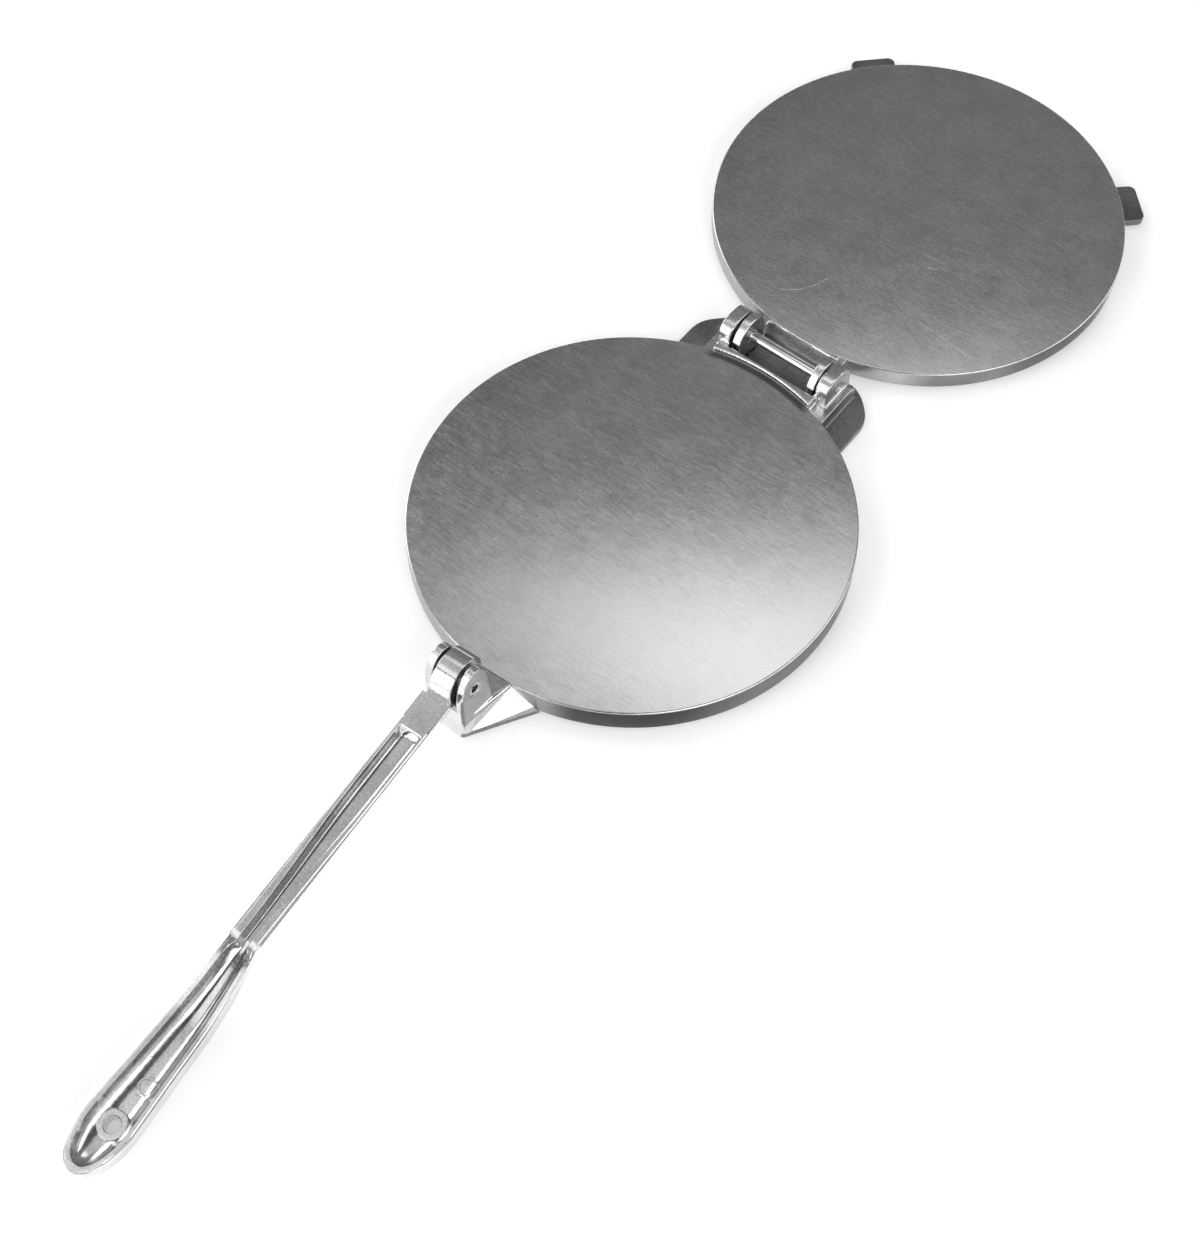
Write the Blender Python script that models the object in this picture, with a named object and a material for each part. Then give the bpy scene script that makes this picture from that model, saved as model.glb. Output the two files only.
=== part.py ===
"""Tortilla press in cast aluminium, lying fully open: five pieces, +X along the press from the handle to the top plate."""

import math

import bmesh
import bpy
from mathutils import Vector

# Driving dimensions, in millimetres. Heights are measured from the base plate's pressing face.
PLATE_R = 101.6  # 8 in plates
TABLE = -15.0  # the feet's bottom
SHIFT_X = 15.5035  # puts the origin midway along the length

BASE_RIM = -12.8
BASE_UNDER = -5.6
SKIRT = 4.0
EDGE = 0.6
RIB_W = 3.0
RIB_RING = 51.0

HINGE_X = 115.74
HINGE_PIN_R = 2.4
HINGE_PIN_HALF = 30.4
HINGE_SIDE = -1.6  # the hinge sits a little off the plates' middle line
REAR_HOLE_R = 2.46
LUG_HOLE_R = 2.49
REAR_EAR = (24.5, 31.0)
LUG = (19.1, 23.3)
LUG_R = 10.5
WING_SIDE = -0.5

TOP_X = 2 * HINGE_X
TOP_FACE = -2.03
TOP_RIM = -11.46
TOP_UNDER = -7.3
TAB_ANGLE = 45.35
TAB_HALF = 11.46
TAB_R = 113.7
TAB_Z = (-13.2, -9.3)
PAD_X = (182.0, 292.0)
PAD_HALF = 17.0

PIVOT_X = -120.0
PIVOT_Z = 20.0
FRONT_EAR = (6.8, 10.3)
FRONT_HOLE_R = 3.56
FRONT_PIN_R = 3.5
FRONT_PIN_BORE = 2.1
FRONT_PIN_HALF = 10.0
FRONT_PIN_SLOT = 1.3

HANDLE_PITCH = 4.0  # degrees down, until the grip lies on the table
HANDLE_YAW = 3.4  # degrees of slack in the knuckle, taken up to one side
HANDLE_SIDE = 0.5
HANDLE_LENGTH = 245.5
KNUCKLE_R = 11.5
KNUCKLE_HALF = 5.3
KNUCKLE_BORE = 3.92
RIM_UP = 1.0  # the shank's rim above the pivot
SHANK_START = 13.4
HOLE_AT = 222.7
HOLE_R = 3.5
BOSS_R = 6.4

# Half-width of the rim along the handle, then how far the rim drops below the shank's.
RIM_HALF = ((13.4, 7.45), (138.0, 7.45), (140.5, 6.9), (143.0, 7.25), (154.0, 8.3), (161.0, 8.7), (178.0, 9.8), (197.0, 10.6), (212.0, 11.4), (222.0, 11.9))
RIM_DROP = ((13.4, 0.0), (138.0, 0.0), (143.0, 1.9), (150.0, 3.9), (162.0, 6.1), (178.0, 7.7), (245.5, 7.7))
DEPTH = ((13.4, 8.0), (138.0, 8.0), (146.0, 9.2), (162.0, 11.0), (178.0, 11.8), (245.5, 11.8))
SHANK_SHAPE = ((1.0, 0.0), (0.925, 0.37), (0.885, 0.56), (0.80, 0.8), (0.644, 1.0))
GRIP_SHAPE = ((1.0, 0.0), (0.965, 0.45), (0.92, 0.72), (0.80, 0.93), (0.52, 1.0))
SHANK_RECESS = ((31.0, 5.3), (62.0, 5.2), (122.0, 2.95), (144.0, 2.5))
SHANK_RECESS_DEPTH = 6.0
SPOON_START = 140.6
SPOON_END = 242.3
SPOON_DEPTH = ((140.6, 5.6), (143.0, 5.6), (150.0, 5.8), (162.0, 6.1), (178.0, 6.4), (245.5, 6.4))
SHANK_HOLLOW = ((1.0, 0.0), (0.93, 0.5), (0.78, 0.88), (0.45, 1.0))
SPOON_SHAPE = ((1.0, 0.0), (0.93, 0.2), (0.78, 0.42), (0.6, 0.65), (0.4, 0.84), (0.15, 0.98))
FLANGE = 2.9

MM = 0.001
ROUND = 128


def curve(table, x):
    """A smooth line with no overshoot through a table of (x, y)."""
    if x <= table[0][0]:
        return table[0][1]
    if x >= table[-1][0]:
        return table[-1][1]
    steps = [(b[1] - a[1]) / (b[0] - a[0]) for a, b in zip(table, table[1:])]
    slopes = [steps[0]]
    for before, after in zip(steps, steps[1:]):
        slopes.append(0.0 if before * after <= 0 else 2 * before * after / (before + after))
    slopes.append(steps[-1])
    for i in range(len(table) - 1):
        x0, y0 = table[i]
        x1, y1 = table[i + 1]
        if x <= x1:
            h = x1 - x0
            t = (x - x0) / h
            return (
                (2 * t**3 - 3 * t**2 + 1) * y0
                + (t**3 - 2 * t**2 + t) * h * slopes[i]
                + (3 * t**2 - 2 * t**3) * y1
                + (t**3 - t**2) * h * slopes[i + 1]
            )
    return table[-1][1]


def made(name, bm):
    """An object from a bmesh, with its faces turned outwards."""
    bmesh.ops.remove_doubles(bm, verts=bm.verts[:], dist=1e-6)
    bmesh.ops.recalc_face_normals(bm, faces=bm.faces[:])
    mesh = bpy.data.meshes.new(name)
    bm.to_mesh(mesh)
    bm.free()
    obj = bpy.data.objects.new(name, mesh)
    bpy.context.scene.collection.objects.link(obj)
    return obj


def loft(name, sections):
    """A solid through closed sections with the same number of points."""
    bm = bmesh.new()
    rings = [[bm.verts.new(p) for p in section] for section in sections]
    count = len(rings[0])
    for a, b in zip(rings, rings[1:]):
        for i in range(count):
            j = (i + 1) % count
            bm.faces.new((a[i], a[j], b[j], b[i]))
    bm.faces.new(rings[0][::-1])
    bm.faces.new(rings[-1])
    return made(name, bm)


def slab(name, outline, plane, a, b):
    """An outline in the XZ or XY plane, given thickness from a to b."""
    if plane == "xz":
        return loft(name, [[(x, w, z) for x, z in outline] for w in (a, b)])
    return loft(name, [[(x, y, w) for x, y in outline] for w in (a, b)])


def circle(cx, cy, r, count, start=0.0, end=360.0):
    closed = end - start >= 360.0
    steps = count if closed else count - 1
    return [
        (
            cx + r * math.cos(math.radians(start + (end - start) * i / steps)),
            cy + r * math.sin(math.radians(start + (end - start) * i / steps)),
        )
        for i in range(count)
    ]


def turned(name, cx, profile, count=ROUND):
    """A profile of (radius, height) turned about the vertical through (cx, 0)."""
    return loft(name, [[(x, y, z) for x, y in circle(cx, 0, r, count)] for r, z in profile])


def hull(name, points):
    bm = bmesh.new()
    for p in points:
        bm.verts.new(p)
    bmesh.ops.convex_hull(bm, input=bm.verts[:])
    loose = [v for v in bm.verts if not v.link_faces]
    bmesh.ops.delete(bm, geom=loose, context="VERTS")
    bmesh.ops.dissolve_limit(bm, angle_limit=0.001, verts=bm.verts[:], edges=bm.edges[:])
    return made(name, bm)


def boolean(target, others, operation):
    for other in others:
        modifier = target.modifiers.new("Boolean", "BOOLEAN")
        modifier.operation = operation
        modifier.solver = "EXACT"
        modifier.object = other
        other.hide_render = True
        other.display_type = "WIRE"
        graph = bpy.context.evaluated_depsgraph_get()
        mesh = bpy.data.meshes.new_from_object(target.evaluated_get(graph))
        target.modifiers.clear()
        target.data = mesh
        bpy.data.objects.remove(other)
    return target


def union(target, others):
    return boolean(target, others, "UNION")


def cut(target, others):
    return boolean(target, others, "DIFFERENCE")


def both_sides(name, outline, plane, a, b, middle=0.0):
    """The slab and its mirror image across a lengthwise plane."""
    if plane == "xz":
        return [slab(name + "_l", outline, plane, middle + a, middle + b), slab(name + "_r", outline, plane, middle - b, middle - a)]
    return [
        slab(name + "_l", [(x, middle + y) for x, y in outline], plane, a, b),
        slab(name + "_r", [(x, middle - y) for x, y in outline], plane, a, b),
    ]


def ribs(cx, low, high):
    """Four bars across a plate and a ring round its middle."""
    reach = PLATE_R - 2.4
    bars = []
    for i in range(4):
        a = math.radians(45.0 * i)
        along = Vector((math.cos(a), math.sin(a)))
        across = Vector((-along.y, along.x)) * RIB_W / 2
        corners = [along * reach + across, along * -reach + across, along * -reach - across, along * reach - across]
        bars.append(slab("bar", [(cx + c.x, c.y) for c in corners], "xy", low + 0.11 * i, high + 0.03 * i))
    inner, outer = RIB_RING - RIB_W / 2, RIB_RING + RIB_W / 2
    ring = turned("ring", cx, ((outer, low + 0.5), (outer, high + 0.2)), 96)
    cut(ring, [turned("ring_hole", cx, ((inner, low - 3), (inner, high + 3)), 96)])
    return bars + [ring]


def finish(obj, material, color, metallic, roughness, pivot):
    """Millimetres to metres, the origin onto the piece's own axis, smooth shading and a material."""
    place = Vector(pivot)
    for vertex in obj.data.vertices:
        vertex.co = (vertex.co - place) * MM
    obj.location = (place + Vector((SHIFT_X, 0, -TABLE))) * MM
    obj.data.shade_smooth()
    obj.data.set_sharp_from_angle(angle=math.radians(32))
    surface = bpy.data.materials.new(material)
    surface.use_nodes = True
    shader = surface.node_tree.nodes["Principled BSDF"]
    shader.inputs["Base Color"].default_value = (*color, 1)
    shader.inputs["Metallic"].default_value = metallic
    shader.inputs["Roughness"].default_value = roughness
    obj.data.materials.clear()
    obj.data.materials.append(surface)


def base_plate():
    plate = turned(
        "base_plate",
        0,
        (
            (PLATE_R - EDGE, 0),
            (PLATE_R, -EDGE),
            (PLATE_R, BASE_RIM + EDGE),
            (PLATE_R - EDGE, BASE_RIM),
            (PLATE_R - SKIRT, BASE_RIM),
            (PLATE_R - SKIRT - 1.2, BASE_UNDER),
        ),
    )
    union(plate, ribs(0, BASE_RIM + 0.8, BASE_UNDER + 0.7))

    # Front: the block under the two ears of the clevis, and the sloping gusset on each of its sides.
    block = hull(
        "block",
        [(x, side * y, z) for side in (-1, 1) for x, y, z in (
            (-128.7, 9.2, 3.0), (-127.7, 10.3, 3.0), (-110.0, 10.3, 1.0), (-127.0, 8.9, -10.4), (-126.2, 9.6, -10.2), (-103.2, 12.6, -1.5), (-98.0, 12.6, -1.5),
            (-128.2, 6.6, TABLE), (-127.6, 7.6, TABLE), (-126.6, 8.6, TABLE), (-98.0, 12.6, TABLE),
        )],
    )
    gussets = []
    for side in (-1, 1):
        gussets.append(hull(
            "gusset",
            [(x, side * y, z) for x, y, z in (
                (-126.0, 9.3, -10.3), (-103.4, 12.3, -1.9), (-98.0, 12.3, -1.9), (-99.4, 21.8, -10.6), (-94.0, 21.0, -10.6), (-94.0, 5.0, -10.6),
                (-126.7, 8.3, -12.8), (-98.2, 25.6, -12.8), (-94.0, 24.0, -12.8),
                (-126.7, 8.3, TABLE + 0.04), (-98.2, 25.6, TABLE + 0.04), (-94.0, 24.0, TABLE + 0.04), (-112.0, 4.0, TABLE + 0.04),
            )],
        ))
    wall = [(-128.9, 0.0), (-129.0, 7.0), (-128.2, 7.9), (-125.9, 8.0), (-124.6, 6.2), (-115.4, 6.2), (-113.4, 7.2), (-111.2, 6.4), (-110.4, 0.0)]
    bridge = slab("bridge", wall, "xz", -7.3, 7.3)
    ear = [
        (-110.3, -1.4), (-110.9, 7.0), (-111.6, 14.0), (-111.9, 21.0), (-112.5, 25.6), (-114.0, 29.2), (-116.3, 31.7), (-119.2, 32.7), (-122.0, 32.1),
        (-124.4, 30.1), (-126.3, 27.0), (-127.8, 22.6), (-128.7, 17.0), (-129.0, 10.0), (-129.0, 1.2), (-128.4, -1.4),
    ]
    union(plate, [block, bridge] + gussets + both_sides("ear", ear, "xz", *FRONT_EAR))
    cut(plate, [slab("front_hole", circle(PIVOT_X, PIVOT_Z, FRONT_HOLE_R, 40), "xz", -14, 14)])

    # Rear: two feet, their plinths, the hinge ears and the wall that closes the plate's edge between them.
    wing = [
        (84.0, 49.0), (111.0, 49.0), (115.4, 48.2), (119.3, 46.1), (124.1, 41.6), (127.3, 37.4), (129.2, 33.3), (129.4, 30.0), (128.3, 27.0),
        (126.0, 25.5), (84.0, 25.5),
    ]
    plinth = [(90.0, -14.1), (90.0, -3.6), (121.6, -3.6), (124.0, -5.2), (124.6, -8.0), (124.6, -14.1)]
    rear_ear = [
        (105.0, -14.5), (104.6, 2.0), (104.7, 5.5), (105.4, 7.8), (107.0, 9.4), (109.3, 10.2), (113.0, 10.5), (117.5, 10.3), (120.3, 9.6), (122.4, 8.3),
        (124.0, 6.2), (124.8, 3.0), (125.3, -14.5),
    ]
    # The wall between the ears stands above the face, just outside the plate's round edge.
    edge_wall = slab("edge_wall", [(92.0, -14.6), (92.0, -0.35), (97.0, -0.35), (97.0, 1.5), (106.4, 1.5), (115.5, -8.0), (115.5, -14.6)], "xz", -27.4, 27.4)
    cut(edge_wall, [turned("edge_room", 0, ((PLATE_R + 0.2, -0.36), (PLATE_R + 0.2, 4.0)))])
    # The hollow under the pin is closed below.
    trough = slab("trough", [(112.0, -14.55), (112.0, -12.75), (124.2, -12.75), (124.2, -14.55)], "xz", -26.9, 26.9)
    union(
        plate,
        both_sides("wing", wing, "xy", TABLE, -11.9, WING_SIDE)
        + both_sides("plinth", plinth, "xz", 24.2, 34.8, HINGE_SIDE)
        + both_sides("rear_ear", rear_ear, "xz", *REAR_EAR, HINGE_SIDE)
        + [edge_wall, trough],
    )
    room = REAR_EAR[0] - 0.15
    cut(plate, [slab("hinge_room", circle(HINGE_X, 0, 12.4, 64), "xz", HINGE_SIDE - room, HINGE_SIDE + room)])
    cut(plate, [slab("rear_hole", circle(HINGE_X, 0, REAR_HOLE_R, 40), "xz", -40, 40)])
    # The skirt's hollow stays open over the plinths and feet.
    return plate


def top_plate():
    plate = turned(
        "top_plate",
        TOP_X,
        (
            (PLATE_R - EDGE, TOP_FACE),
            (PLATE_R, TOP_FACE - EDGE),
            (PLATE_R, TOP_RIM + EDGE),
            (PLATE_R - EDGE, TOP_RIM),
            (PLATE_R - SKIRT, TOP_RIM),
            (PLATE_R - SKIRT - 0.8, TOP_UNDER),
        ),
    )
    union(plate, ribs(TOP_X, TOP_RIM + 0.5, TOP_UNDER + 0.7))
    (x0, x1), y = PAD_X, PAD_HALF
    pad = [(x0 + 6, -y), (x1 - 6, -y), (x1 - 2, -y + 2), (x1, -y + 6), (x1, y - 6), (x1 - 2, y - 2), (x1 - 6, y), (x0 + 6, y), (x0 + 2, y - 2), (x0, y - 6), (x0, -y + 6), (x0 + 2, -y + 2)]
    union(plate, [slab("pad", pad, "xy", TABLE, TOP_UNDER + 0.4)])

    lug = circle(HINGE_X, 0, LUG_R, 34, 0.0, 270.0) + [(122.0, -10.7), (136.5, -11.3), (136.5, -2.35), (127.4, -2.35), (126.6, -1.6)]
    web = [(135.0, -2.12), (130.4, -2.12), (126.9, -7.6), (126.5, -8.6), (126.5, -11.2), (135.0, -11.2)]
    union(plate, both_sides("lug", lug, "xz", *LUG, HINGE_SIDE) + [slab("web", web, "xz", HINGE_SIDE - LUG[0] - 0.4, HINGE_SIDE + LUG[0] + 0.4)])
    cut(plate, [slab("lug_hole", circle(HINGE_X, 0, LUG_HOLE_R, 48), "xz", -40, 40)])

    for side in (-1, 1):
        a = math.radians(TAB_ANGLE) * side
        out, across = Vector((math.cos(a), math.sin(a))), Vector((-math.sin(a), math.cos(a)))
        corner = 3.6
        shape = [(98.6, -TAB_HALF), (98.6, TAB_HALF)]
        shape += [(x, y) for x, y in circle(TAB_R - corner, TAB_HALF - corner, corner, 7, 90.0, 0.0)]
        shape += [(x, y) for x, y in circle(TAB_R - corner, corner - TAB_HALF, corner, 7, 0.0, -90.0)]
        outline = [(TOP_X + out.x * r + across.x * w, out.y * r + across.y * w) for r, w in shape]
        union(plate, [slab("tab", outline, "xy", *TAB_Z)])
    return plate


def handle_axes():
    pitch, yaw = math.radians(HANDLE_PITCH), math.radians(HANDLE_YAW)
    flat = Vector((-math.cos(yaw), -math.sin(yaw), 0))
    along = flat * math.cos(pitch) - Vector((0, 0, math.sin(pitch)))
    up = flat * math.sin(pitch) + Vector((0, 0, math.cos(pitch)))
    return along, along.cross(up), up


def rim_half(x):
    if x <= 222.0:
        return curve(RIM_HALF, x)
    return 11.9 * math.sqrt(max(0.0, 1 - ((x - 222.0) / (HANDLE_LENGTH - 222.0)) ** 2.1))


def blend(x):
    t = min(1.0, max(0.0, (x - 139.0) / 22.0))
    return t * t * (3 - 2 * t)


def outer_section(x):
    half, top = max(rim_half(x), 0.9), RIM_UP - curve(RIM_DROP, x)
    depth = curve(DEPTH, x)
    near = min(1.0, max(0.0, (x - 232.0) / (HANDLE_LENGTH - 232.0)))
    depth *= 1 - 0.34 * (1 - math.sqrt(1 - near * near))
    g = blend(x)
    side = []
    for (ka, da), (kb, db) in zip(SHANK_SHAPE, GRIP_SHAPE):
        side.append((half * (ka + (kb - ka) * g), top - depth * (da + (db - da) * g)))
    return [(x, w, h) for w, h in side] + [(x, -w, h) for w, h in reversed(side)]


def spoon_section(x):
    half = max(rim_half(x + 0.25 * FLANGE * (x > 222)) - FLANGE, 0.5)
    if x > 222.0:
        half = 9.0 * math.sqrt(max(0.004, 1 - ((x - 222.0) / (SPOON_END - 222.0)) ** 2.1))
    start = min(1.0, (x - SPOON_START) / 5.0)
    half = 2.9 + (half - 2.9) * start * (2 - start)
    top = RIM_UP - curve(RIM_DROP, x)
    depth = curve(SPOON_DEPTH, x)
    side = [(half + 0.25, top + 6)] + [(half * k, top - depth * d) for k, d in SPOON_SHAPE]
    return [(x, w, h) for w, h in side] + [(x, -w, h) for w, h in reversed(side)]


def handle():
    stations = [SHANK_START, 20.0, 27.0, 40.0, 60.0, 80.0, 100.0, 120.0, 132.0, 138.0, 139.2, 140.4, 141.6, 143.0, 146.0, 150.0, 155.0, 161.0, 168.0, 176.0, 186.0, 197.0, 206.0, 214.0, 222.0]
    stations += [222.0 + (HANDLE_LENGTH - 222.0) * math.sin(math.radians(a)) for a in (14, 27, 39, 50, 60, 68.5, 76, 82, 86.5, 90)]
    body = loft("handle", [outer_section(x) for x in stations])

    knuckle = slab("knuckle", circle(0, 0, KNUCKLE_R, 56), "xz", -KNUCKLE_HALF, KNUCKLE_HALF)
    link = slab("link", [(2.0, RIM_UP - 0.2), (14.5, RIM_UP - 0.2), (14.5, -6.6), (2.0, -8.6)], "xz", -KNUCKLE_HALF + 0.15, KNUCKLE_HALF - 0.15)
    union(body, [knuckle, link])

    recess = []
    for i, x in enumerate((31.0, 33.0, 62.0, 92.0, 122.0, 135.0, 143.5)):
        half = curve(SHANK_RECESS, x)
        lift = SHANK_RECESS_DEPTH * (0.02 if i == 0 else 1.0)
        side = [(half + 0.25, RIM_UP + 4)] + [(half * k, RIM_UP - lift * d) for k, d in SHANK_HOLLOW]
        recess.append([(x, w, h) for w, h in side] + [(x, -w, h) for w, h in reversed(side)])
    places = [140.6, 141.6, 143.0, 146.0, 150.0, 156.0, 163.0, 171.0, 180.0, 190.0, 200.0, 211.0, 222.0]
    places += [222.0 + (SPOON_END - 222.0) * math.sin(math.radians(a)) for a in (16, 31, 45, 57, 68, 77, 84, 90)]
    cut(body, [loft("recess", recess), loft("spoon", [spoon_section(x) for x in places])])

    floor = RIM_UP - 7.7 - 6.4
    union(body, [slab_up("boss", HOLE_AT, 0, BOSS_R, floor - 1.2, floor + 1.6, 40)])
    cut(body, [slab_up("hole", HOLE_AT, 0, HOLE_R, floor - 12, floor + 12, 36)])
    cut(body, [slab("bore", circle(0, 0, KNUCKLE_BORE, 48), "xz", -12, 12)])

    along, side, up = handle_axes()
    pivot = Vector((PIVOT_X, 0, PIVOT_Z))
    for vertex in body.data.vertices:
        x, y, z = vertex.co
        vertex.co = pivot + along * x + side * (y + HANDLE_SIDE) + up * z
    bm = bmesh.new()
    bm.from_mesh(body.data)
    bmesh.ops.recalc_face_normals(bm, faces=bm.faces[:])
    bm.to_mesh(body.data)
    bm.free()
    return body


def slab_up(name, cx, cy, r, low, high, count):
    return slab(name, circle(cx, cy, r, count), "xy", low, high)


def hinge_pin():
    r, half = HINGE_PIN_R, HINGE_PIN_HALF
    rings = [(r - 0.5, -half), (r, -half + 0.5), (r, half - 0.5), (r - 0.5, half)]
    return loft("hinge_pin", [[(x, HINGE_SIDE + w, z) for x, z in circle(HINGE_X, 0, radius, 40)] for radius, w in rings])


def handle_pin():
    """A rolled spring pin: an open tube whose slot runs its whole length."""
    gap = math.degrees(math.asin(FRONT_PIN_SLOT / 2 / FRONT_PIN_R))
    start = 112.0
    outer = circle(PIVOT_X, PIVOT_Z, FRONT_PIN_R, 34, start + gap, start + 360 - gap - 0.01)
    inner_gap = math.degrees(math.asin(FRONT_PIN_SLOT / 2 / FRONT_PIN_BORE))
    inner = circle(PIVOT_X, PIVOT_Z, FRONT_PIN_BORE, 34, start + inner_gap, start + 360 - inner_gap - 0.01)
    return slab("handle_pin", outer + inner[::-1], "xz", -FRONT_PIN_HALF, FRONT_PIN_HALF)


def main():
    for obj in list(bpy.data.objects):
        bpy.data.objects.remove(obj)
    hinge, pivot = (HINGE_X, 0, 0), (PIVOT_X, 0, PIVOT_Z)
    finish(base_plate(), "base_aluminium", (0.62, 0.62, 0.63), 1.0, 0.38, (0, 0, 0))
    finish(top_plate(), "top_aluminium", (0.60, 0.60, 0.61), 1.0, 0.40, hinge)
    finish(handle(), "handle_aluminium", (0.66, 0.66, 0.67), 1.0, 0.30, pivot)
    finish(hinge_pin(), "hinge_steel", (0.55, 0.55, 0.56), 1.0, 0.22, hinge)
    finish(handle_pin(), "spring_steel", (0.50, 0.50, 0.50), 1.0, 0.25, pivot)


main()
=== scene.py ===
"""Looks of the tortilla press: finer castings, machined and cast aluminium, studio light and the camera."""

import math

import bmesh
import bpy
from mathutils import Matrix, Vector


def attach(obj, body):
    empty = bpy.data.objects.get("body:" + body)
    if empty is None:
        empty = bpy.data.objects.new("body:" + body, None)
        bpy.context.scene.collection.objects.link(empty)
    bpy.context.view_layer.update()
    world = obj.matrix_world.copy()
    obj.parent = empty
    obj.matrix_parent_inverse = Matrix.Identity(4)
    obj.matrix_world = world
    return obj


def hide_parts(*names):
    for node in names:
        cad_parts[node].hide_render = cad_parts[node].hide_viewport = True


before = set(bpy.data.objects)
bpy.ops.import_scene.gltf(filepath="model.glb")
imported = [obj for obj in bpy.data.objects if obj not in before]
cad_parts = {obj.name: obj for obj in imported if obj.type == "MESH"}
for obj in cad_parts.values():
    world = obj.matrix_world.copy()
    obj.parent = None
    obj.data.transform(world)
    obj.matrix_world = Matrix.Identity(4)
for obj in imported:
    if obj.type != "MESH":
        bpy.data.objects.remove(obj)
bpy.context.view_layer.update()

# Sizes in millimetres, heights from the base plate's pressing face, as in the CAD source.
PLATE_R = 101.6
TABLE = -15.0
SHIFT_X = 15.5035
BASE_RIM = -12.8
BASE_UNDER = -5.6
SKIRT = 4.0
RIB_W = 3.0
RIB_RING = 51.0
HINGE_X = 115.74
HINGE_PIN_R = 2.4
HINGE_PIN_HALF = 30.4
HINGE_SIDE = -1.6
REAR_HOLE_R = 2.46
LUG_HOLE_R = 2.49
REAR_EAR = (24.5, 31.0)
LUG = (19.1, 23.3)
LUG_R = 10.5
WING_SIDE = -0.5
TOP_X = 2 * HINGE_X
TOP_FACE = -2.03
TOP_RIM = -11.46
TOP_UNDER = -7.3
TAB_ANGLE = 45.35
TAB_HALF = 11.46
TAB_R = 113.7
TAB_Z = (-13.2, -9.3)
PAD_X = (182.0, 292.0)
PAD_HALF = 17.0
PIVOT_X = -120.0
PIVOT_Z = 20.0
FRONT_EAR = (6.8, 10.3)
FRONT_HOLE_R = 3.56
FRONT_PIN_R = 3.5
FRONT_PIN_BORE = 2.1
FRONT_PIN_HALF = 10.0
FRONT_PIN_SLOT = 1.3
HANDLE_PITCH = 4.0
HANDLE_YAW = 3.4
HANDLE_SIDE = 0.5
HANDLE_LENGTH = 245.5
KNUCKLE_R = 11.5
KNUCKLE_HALF = 5.3
KNUCKLE_BORE = 3.92
RIM_UP = 1.0
SHANK_START = 13.4
HOLE_AT = 222.7
HOLE_R = 3.5
BOSS_R = 6.4
RIM_HALF = ((13.4, 7.45), (138.0, 7.45), (140.5, 6.9), (143.0, 7.25), (154.0, 8.3), (161.0, 8.7), (178.0, 9.8), (197.0, 10.6), (212.0, 11.4), (222.0, 11.9))
RIM_DROP = ((13.4, 0.0), (137.0, 0.0), (139.5, 0.45), (143.0, 1.6), (150.0, 3.7), (162.0, 6.1), (178.0, 7.7), (245.5, 7.7))
DEPTH = ((13.4, 8.0), (138.0, 8.0), (146.0, 9.2), (162.0, 11.0), (178.0, 11.8), (245.5, 11.8))
SHANK_SHAPE = ((1.0, 0.0), (0.985, 0.12), (0.925, 0.37), (0.885, 0.56), (0.80, 0.8), (0.644, 1.0))
GRIP_SHAPE = ((1.0, 0.0), (0.995, 0.15), (0.965, 0.45), (0.92, 0.72), (0.80, 0.93), (0.52, 1.0))
SHANK_RECESS = ((31.0, 5.3), (62.0, 5.2), (122.0, 2.95), (144.0, 2.5))
SHANK_RECESS_DEPTH = 6.0
SPOON_START = 140.6
SPOON_END = 242.3
SPOON_DEPTH = ((140.6, 5.6), (143.0, 5.6), (150.0, 5.8), (162.0, 6.1), (178.0, 6.4), (245.5, 6.4))
SHANK_HOLLOW = ((0.985, 0.2), (0.95, 0.44), (0.89, 0.67), (0.78, 0.87), (0.6, 0.97), (0.32, 1.0))
SPOON_HOLLOW = ((0.96, 0.19), (0.89, 0.39), (0.79, 0.59), (0.65, 0.77), (0.46, 0.91), (0.23, 0.98))
FLANGE = 2.9
MM = 0.001
ROUND = 256


# ---- shapes ----


def curve(table, x):
    """A smooth line with no overshoot through a table of (x, y)."""
    if x <= table[0][0]:
        return table[0][1]
    if x >= table[-1][0]:
        return table[-1][1]
    steps = [(b[1] - a[1]) / (b[0] - a[0]) for a, b in zip(table, table[1:])]
    slopes = [steps[0]]
    for before, after in zip(steps, steps[1:]):
        slopes.append(0.0 if before * after <= 0 else 2 * before * after / (before + after))
    slopes.append(steps[-1])
    for i in range(len(table) - 1):
        x0, y0 = table[i]
        x1, y1 = table[i + 1]
        if x <= x1:
            h = x1 - x0
            t = (x - x0) / h
            return (
                (2 * t**3 - 3 * t**2 + 1) * y0
                + (t**3 - 2 * t**2 + t) * h * slopes[i]
                + (3 * t**2 - 2 * t**3) * y1
                + (t**3 - t**2) * h * slopes[i + 1]
            )
    return table[-1][1]


def made(name, bm):
    bmesh.ops.remove_doubles(bm, verts=bm.verts[:], dist=1e-6)
    bmesh.ops.recalc_face_normals(bm, faces=bm.faces[:])
    mesh = bpy.data.meshes.new(name)
    bm.to_mesh(mesh)
    bm.free()
    obj = bpy.data.objects.new(name, mesh)
    bpy.context.scene.collection.objects.link(obj)
    return obj


def loft(name, sections):
    bm = bmesh.new()
    rings = [[bm.verts.new(p) for p in section] for section in sections]
    count = len(rings[0])
    for a, b in zip(rings, rings[1:]):
        for i in range(count):
            j = (i + 1) % count
            bm.faces.new((a[i], a[j], b[j], b[i]))
    bm.faces.new(rings[0][::-1])
    bm.faces.new(rings[-1])
    return made(name, bm)


def slab(name, outline, plane, a, b):
    if plane == "xz":
        return loft(name, [[(x, w, z) for x, z in outline] for w in (a, b)])
    return loft(name, [[(x, y, w) for x, y in outline] for w in (a, b)])


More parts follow.
